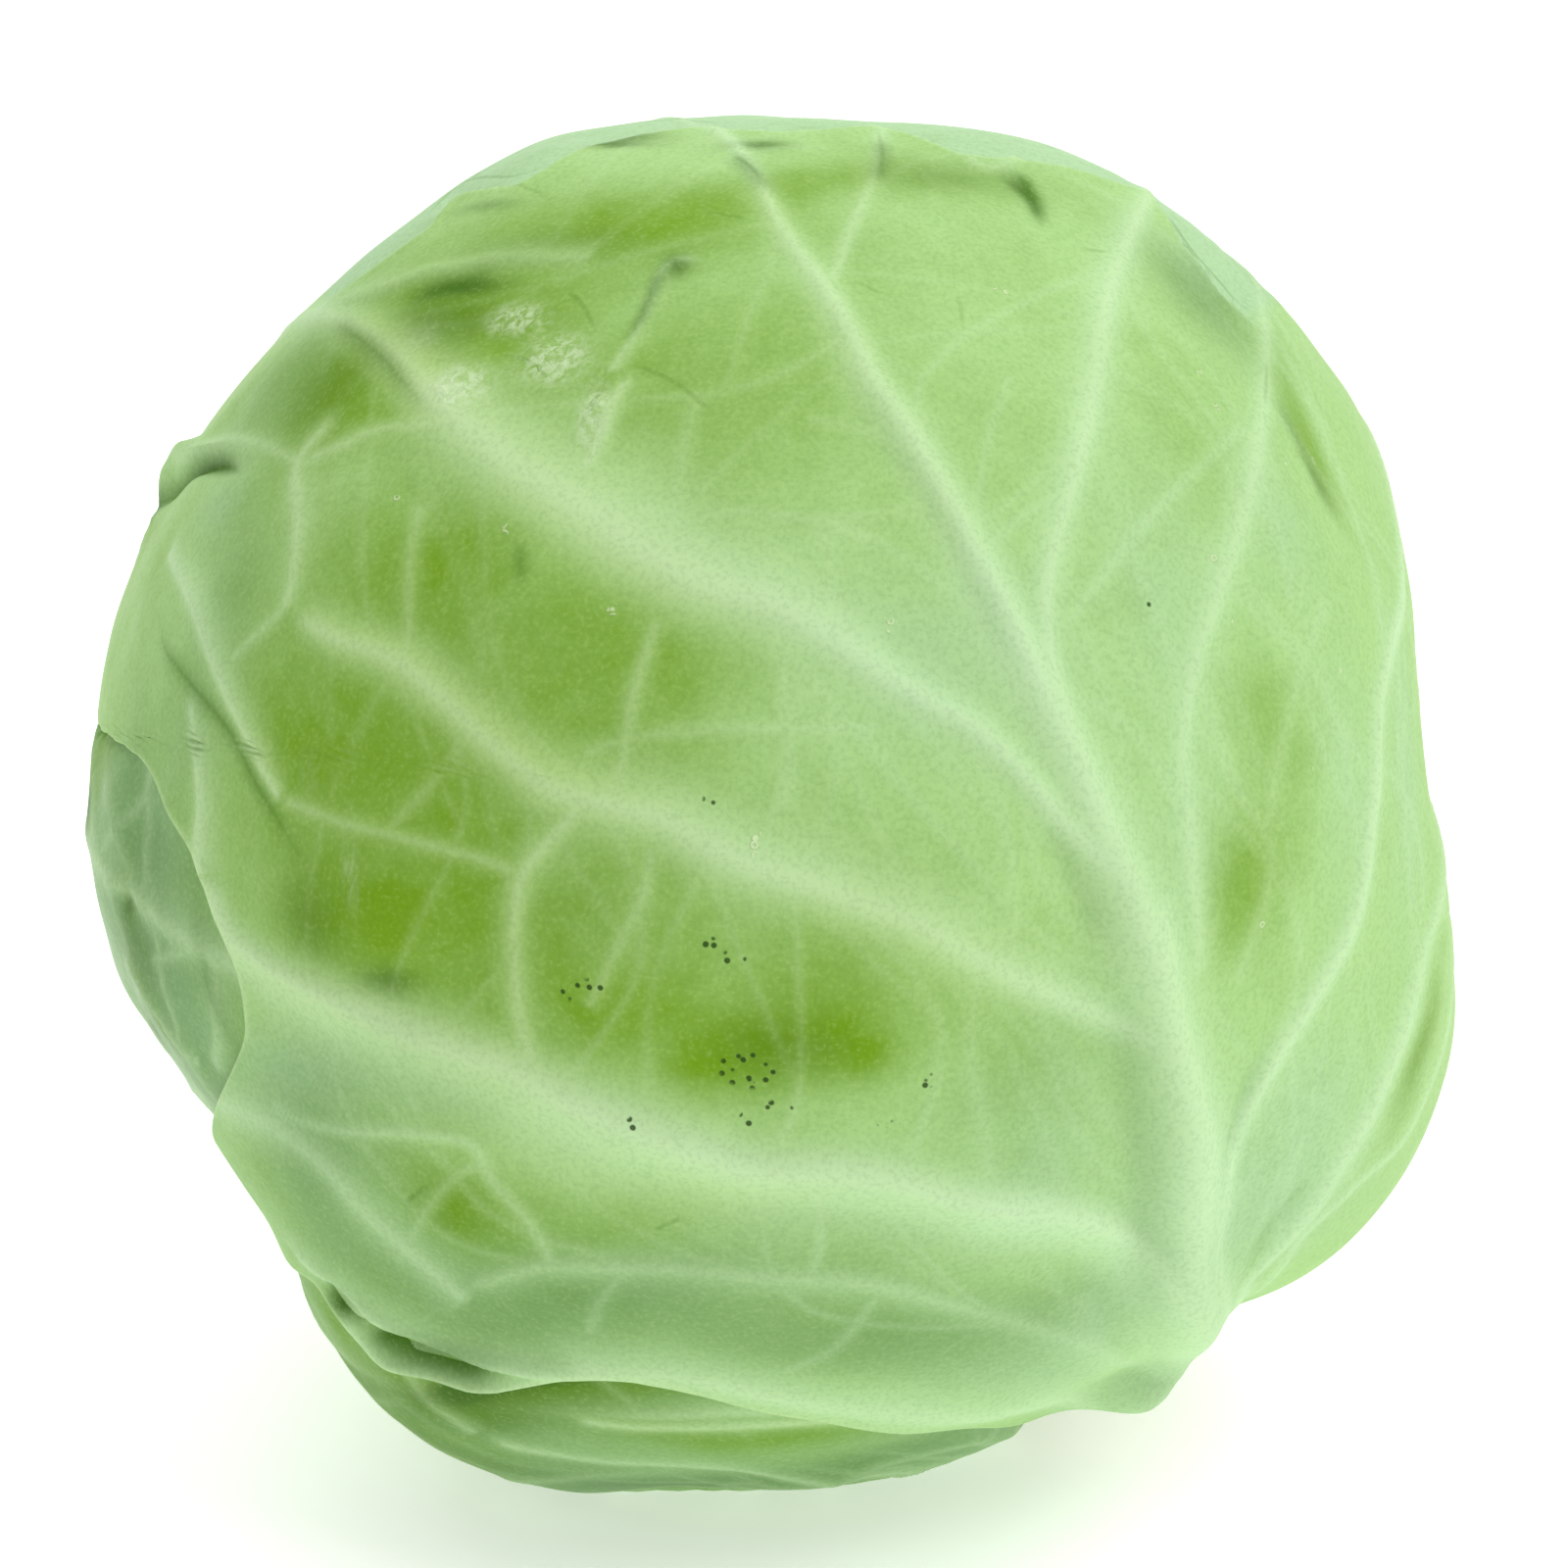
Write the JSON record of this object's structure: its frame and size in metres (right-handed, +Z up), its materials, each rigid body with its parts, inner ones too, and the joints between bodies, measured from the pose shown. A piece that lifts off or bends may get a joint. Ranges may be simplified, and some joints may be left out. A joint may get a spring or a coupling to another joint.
{
  "type": "head cabbage",
  "caption": "Round head of green cabbage lying on its side: ribbed wrapper leaves over a dense heart, grown from one cut stalk.",
  "frame": {"origin": "middle of the small flat spot on the lowest leaf, where the head rests", "axes": "+Z up; -Y towards the side that the large front leaf faces; +X to that viewer's right, the side to which the stalk leans"},
  "size_m": [0.1821, 0.1819, 0.1792],
  "materials": {
    "leaf": "satin",
    "leaf_under": "satin",
    "heart": "satin",
    "stalk": "matte"
  },
  "bodies": {
    "root": {"leaf_front": "leaf", "leaf_front_under": "leaf_under", "leaf_bottom": "leaf_under", "leaf_right": "leaf_under", "leaf_back_left": "leaf_under", "leaf_back": "leaf_under", "heart": "heart", "stalk": "stalk"}
  },
  "joints": []
}
